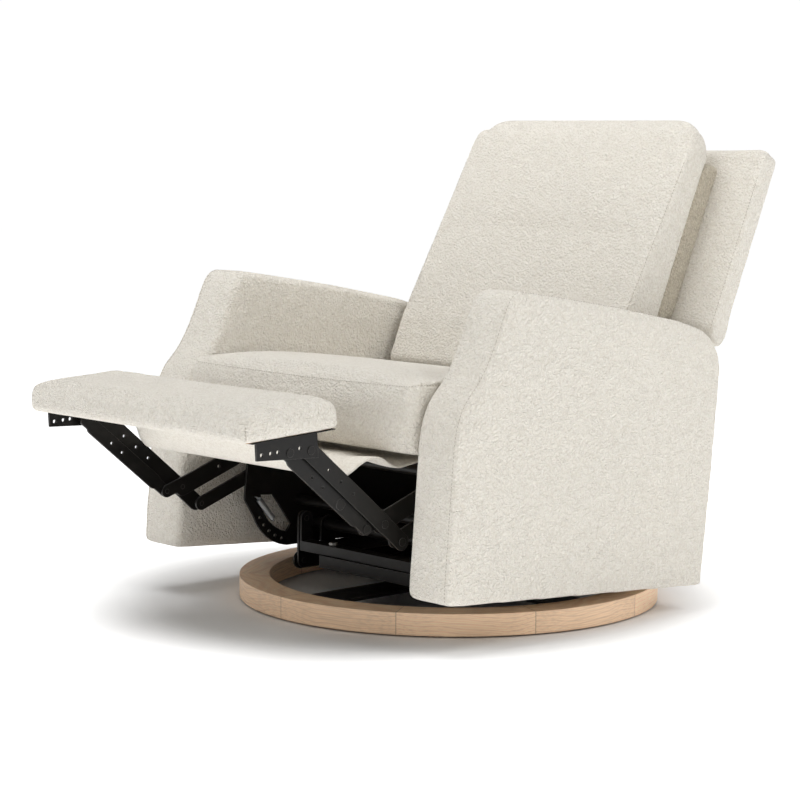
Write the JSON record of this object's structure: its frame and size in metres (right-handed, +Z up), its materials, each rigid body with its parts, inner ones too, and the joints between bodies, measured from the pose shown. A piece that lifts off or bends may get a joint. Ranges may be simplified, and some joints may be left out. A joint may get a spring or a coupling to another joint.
{
  "type": "glider nursery chair",
  "caption": "Upholstered reclining swivel glider armchair on a round wooden ring base, with a fold-out padded footrest on a steel bar linkage.",
  "frame": {"origin": "centre of the wooden ring on the floor, on the swivel axis", "axes": "+Z up, the sitter faces -Y, +X is the sitter's left"},
  "size_m": [0.8, 1.1719, 0.8521],
  "materials": {
    "light_wood": "clear satin lacquer",
    "felt_pad": "felt",
    "black_steel": "black powder coat, half gloss",
    "zinc_steel": "zinc plated",
    "bearing_steel": "polished",
    "cage_plastic": "moulded",
    "spring_steel": "oiled wire",
    "frame_wood": "bare",
    "boucle": "looped boucle weave",
    "boucle_sheet": "looped boucle weave",
    "bezel_plastic": "moulded"
  },
  "bodies": {
    "base": {"wood_ring": "light_wood", "floor_pads": "felt_pad", "base_cross": "black_steel", "base_screws": "zinc_steel", "swivel_lower_plate": "black_steel", "bearing_balls": "bearing_steel", "ball_cage": "cage_plastic", "centre_bolt": "zinc_steel"},
    "carriage": {"swivel_upper_plate": "black_steel", "carriage_tray": "black_steel", "carriage_arm_front": "black_steel", "carriage_arm_rear": "black_steel", "carriage_bolts": "zinc_steel", "link_top_pins": "black_steel"},
    "front_links": {"glide_links_front": "black_steel"},
    "rear_links": {"glide_links_rear": "black_steel"},
    "chair": {"link_bottom_pins": "black_steel", "glide_rail_left": "black_steel", "glide_rail_right": "black_steel", "platform_tubes": "black_steel", "side_plate_left": "black_steel", "side_plate_right": "black_steel", "mechanism_cross_tube": "black_steel", "return_springs": "spring_steel", "base_rivets": "black_steel", "seat_frame": "frame_wood", "seat_springs": "spring_steel", "seat_cushion": "boucle", "arm_left": "boucle", "arm_right": "boucle", "arm_frame_left": "frame_wood", "arm_frame_right": "frame_wood", "rear_panel": "boucle", "frame_bolts": "zinc_steel", "recline_pins": "black_steel", "release_bezel": "bezel_plastic"},
    "lever": {"release_lever": "zinc_steel"},
    "back": {"back_shell": "boucle", "back_board": "frame_wood", "back_cushion": "boucle", "recline_bracket_left": "black_steel", "recline_bracket_right": "black_steel"},
    "swing_arms": {"drive_tube": "black_steel", "swing_arm_left": "black_steel", "swing_arm_right": "black_steel", "swing_arm_rivets": "black_steel"},
    "lower_links": {"lower_link_left": "black_steel", "lower_link_right": "black_steel"},
    "short_bars": {"short_bar_left": "black_steel", "short_bar_right": "black_steel"},
    "long_bars": {"long_bar_left": "black_steel", "long_bar_right": "black_steel", "long_bar_rivets": "black_steel"},
    "footrest": {"footrest_bracket_left": "black_steel", "footrest_bracket_right": "black_steel", "bracket_rivets": "black_steel", "footrest_board": "frame_wood", "footrest_pad": "boucle"},
    "apron_back_panel": {"apron_rear": "boucle_sheet"},
    "apron_front_panel": {"apron_front": "boucle_sheet"}
  },
  "joints": [
    {"name": "swivel", "type": "hinge", "parent": "base", "child": "carriage", "pos_m": [0, 0, 0.05], "axis": [0, 0, 1], "continuous": true},
    {"name": "glide", "type": "hinge", "parent": "carriage", "child": "front_links", "pos_m": [0, -0.175, 0.134], "axis": [1, 0, 0], "range_deg": [-18, 18]},
    {"name": "rear_glide", "type": "hinge", "parent": "carriage", "child": "rear_links", "pos_m": [0, 0.175, 0.134], "axis": [1, 0, 0], "range_deg": [-18.02, 18.02]},
    {"name": "glide_level", "type": "hinge", "parent": "front_links", "child": "chair", "pos_m": [0, -0.175, 0.056], "axis": [1, 0, 0], "range_deg": [-18.02, 18.02]},
    {"name": "recline", "type": "hinge", "parent": "chair", "child": "back", "pos_m": [0, 0.23276, 0.44612], "axis": [1, 0, 0], "range_deg": [-10, 18]},
    {"name": "footrest_swing", "type": "hinge", "parent": "chair", "child": "swing_arms", "pos_m": [0, -0.23492, 0.26631], "axis": [1, 0, 0], "range_deg": [0, 104.5], "deforming": ["apron_rear", "apron_front"]},
    {"name": "lower_link_swing", "type": "hinge", "parent": "chair", "child": "lower_links", "pos_m": [0, -0.19711, 0.23359], "axis": [1, 0, 0], "range_deg": [0, 104.52]},
    {"name": "short_bar_pivot", "type": "hinge", "parent": "swing_arms", "child": "short_bars", "pos_m": [0, -0.43658, 0.20081], "axis": [1, 0, 0], "range_deg": [-99.72, 0]},
    {"name": "long_bar_pivot", "type": "hinge", "parent": "swing_arms", "child": "long_bars", "pos_m": [0, -0.40258, 0.20545], "axis": [1, 0, 0], "range_deg": [-104.52, 0]},
    {"name": "footrest_tilt", "type": "hinge", "parent": "long_bars", "child": "footrest", "pos_m": [0, -0.56166, 0.33887], "axis": [1, 0, 0], "range_deg": [0, 81.25]},
    {"name": "apron_hinge", "type": "hinge", "parent": "chair", "child": "apron_back_panel", "pos_m": [0, -0.28463, 0.30086], "axis": [1, 0, 0], "range_deg": [0, 105.95]},
    {"name": "apron_fold", "type": "hinge", "parent": "apron_back_panel", "child": "apron_front_panel", "pos_m": [0, -0.45766, 0.27787], "axis": [1, 0, 0], "range_deg": [-114.63, 0]},
    {"name": "lever_pull", "type": "hinge", "parent": "chair", "child": "lever", "pos_m": [0.302, -0.1367, 0.49551], "axis": [0, 0.9976, -0.0698], "range_deg": [0, 35], "stiffness_Nm_per_rad": 0.5, "springref_deg": -5.73}
  ],
  "couplings": [
    {"joint": "rear_glide", "follows": "glide", "ratio": 1},
    {"joint": "glide_level", "follows": "glide", "ratio": -1},
    {"joint": "lower_link_swing", "follows": "footrest_swing", "ratio": 1},
    {"joint": "short_bar_pivot", "follows": "footrest_swing", "ratio": -0.95411},
    {"joint": "long_bar_pivot", "follows": "footrest_swing", "ratio": -1},
    {"joint": "footrest_tilt", "follows": "footrest_swing", "ratio": 0.77731},
    {"joint": "apron_hinge", "follows": "footrest_swing", "ratio": 1.0137},
    {"joint": "apron_fold", "follows": "footrest_swing", "ratio": -1.0967}
  ]
}
